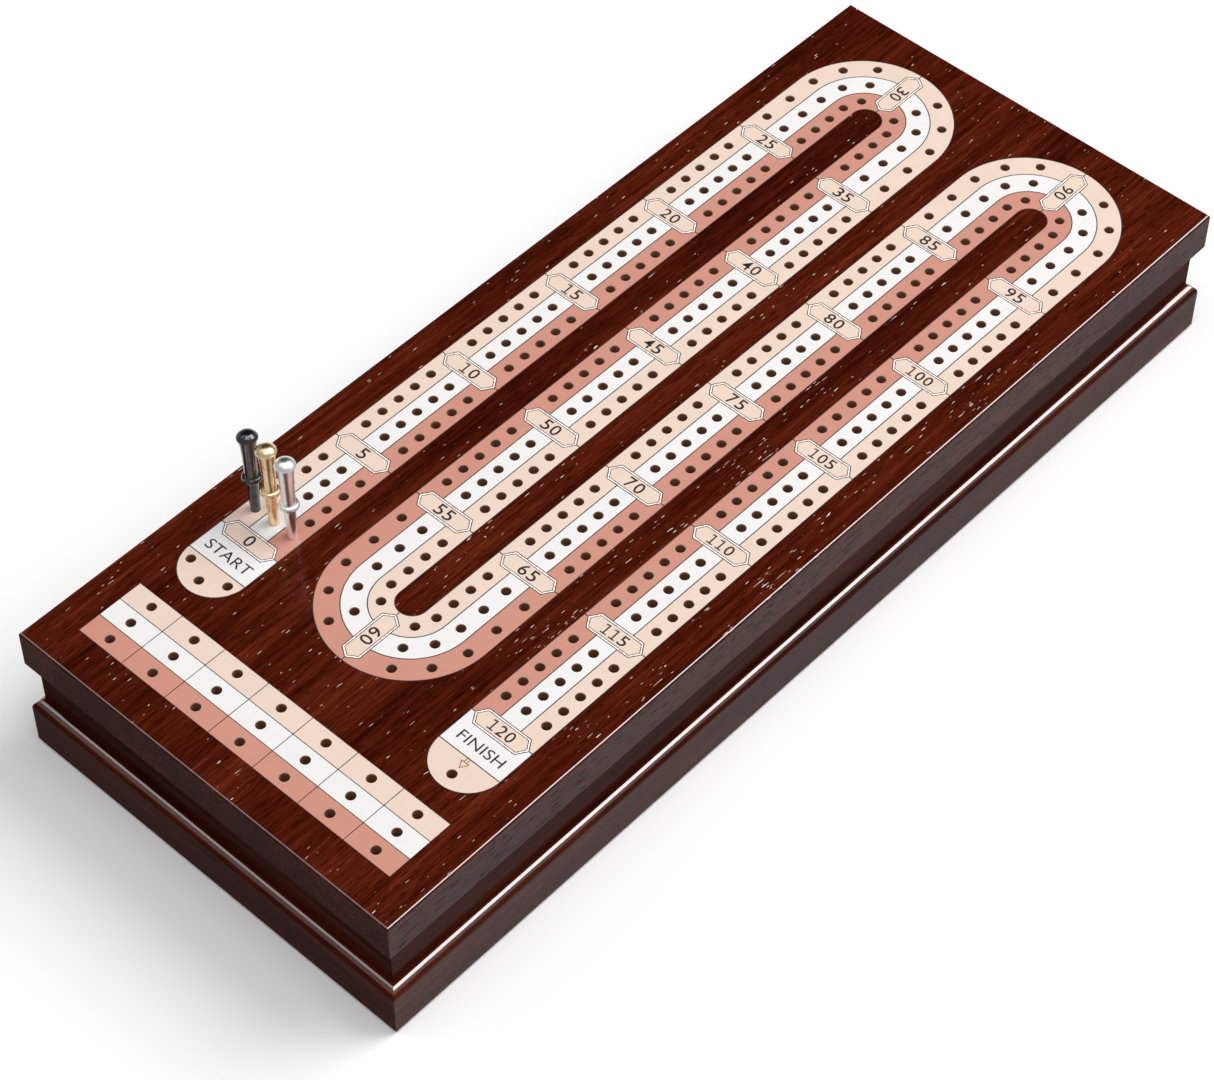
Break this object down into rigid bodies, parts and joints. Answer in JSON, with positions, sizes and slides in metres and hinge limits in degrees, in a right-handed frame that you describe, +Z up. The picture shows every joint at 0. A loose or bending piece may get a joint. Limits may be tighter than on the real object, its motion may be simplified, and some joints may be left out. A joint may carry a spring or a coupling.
{
  "type": "cribbage board",
  "caption": "Rectangular pegging board with winding inlaid tracks of small holes and standing pegs, swivelling on a hollow moulded base with bays for cards.",
  "frame": {"origin": "on the table under the middle of the board", "axes": "+Y along the board from the games strip to the far end, +X across the board to the right as the numbers are read, +Z up"},
  "size_m": [0.1498, 0.3686, 0.0842],
  "materials": {
    "dark_wood": "reddish-brown stain under satin lacquer",
    "inner_wood": "plain sanded hardwood",
    "peach_inlay": "dyed veneer under satin lacquer",
    "white_inlay": "bleached veneer under satin lacquer",
    "terracotta_inlay": "dyed veneer under satin lacquer",
    "ink": "printed black line, lacquered over",
    "black_metal": "gloss black plating",
    "gold_metal": "polished",
    "silver_metal": "polished",
    "brass_insert": "turned",
    "steel": "zinc plated",
    "magnet": "nickel plated",
    "nylon": "natural",
    "felt": "short-napped felt"
  },
  "bodies": {
    "base": {"rail_left": "dark_wood", "rail_right": "dark_wood", "rail_near": "dark_wood", "rail_far": "dark_wood", "floor_panel": "inner_wood", "pivot_block": "inner_wood", "catch_block": "inner_wood", "pivot_washer": "nylon", "head_washer": "nylon", "magnet_base": "magnet", "divider_long": "inner_wood", "divider_cross_1": "inner_wood", "divider_cross_2": "inner_wood", "divider_cross_3": "inner_wood", "liner_cards": "felt", "liner_near_bay": "felt", "liner_far_bay": "felt", "liner_tray": "felt", "peg_cradle": "inner_wood", "spare_pegs_black": "black_metal", "spare_pegs_gold": "gold_metal", "spare_pegs_silver": "silver_metal", "panel_screws": "steel", "felt_feet": "felt"},
    "board": {"top_board": "dark_wood", "lane_peach": "peach_inlay", "lane_white": "white_inlay", "lane_terracotta": "terracotta_inlay", "start_band": "white_inlay", "start_cap": "peach_inlay", "finish_band": "white_inlay", "finish_cap": "peach_inlay", "number_plaques": "peach_inlay", "games_row_peach": "peach_inlay", "games_row_white": "white_inlay", "games_row_terracotta": "terracotta_inlay", "pivot_insert": "brass_insert", "pivot_bolt": "steel", "pivot_spring_washer": "steel", "magnet_top": "magnet"},
    "black_peg": {"peg_black": "black_metal"},
    "gold_peg": {"peg_gold": "gold_metal"},
    "silver_peg": {"peg_silver": "silver_metal"}
  },
  "joints": [
    {"name": "board_swivel", "type": "hinge", "parent": "base", "child": "board", "pos_m": [0.056, 0.1655, 0.0368], "axis": [0, 0, -1], "range_deg": [0, 100]},
    {"name": "black_peg_lift", "type": "slide", "parent": "board", "child": "black_peg", "axis": [0, 0, 1], "range_m": [0, 0.03]},
    {"name": "gold_peg_lift", "type": "slide", "parent": "board", "child": "gold_peg", "axis": [0, 0, 1], "range_m": [0, 0.03]},
    {"name": "silver_peg_lift", "type": "slide", "parent": "board", "child": "silver_peg", "axis": [0, 0, 1], "range_m": [0, 0.03]}
  ]
}
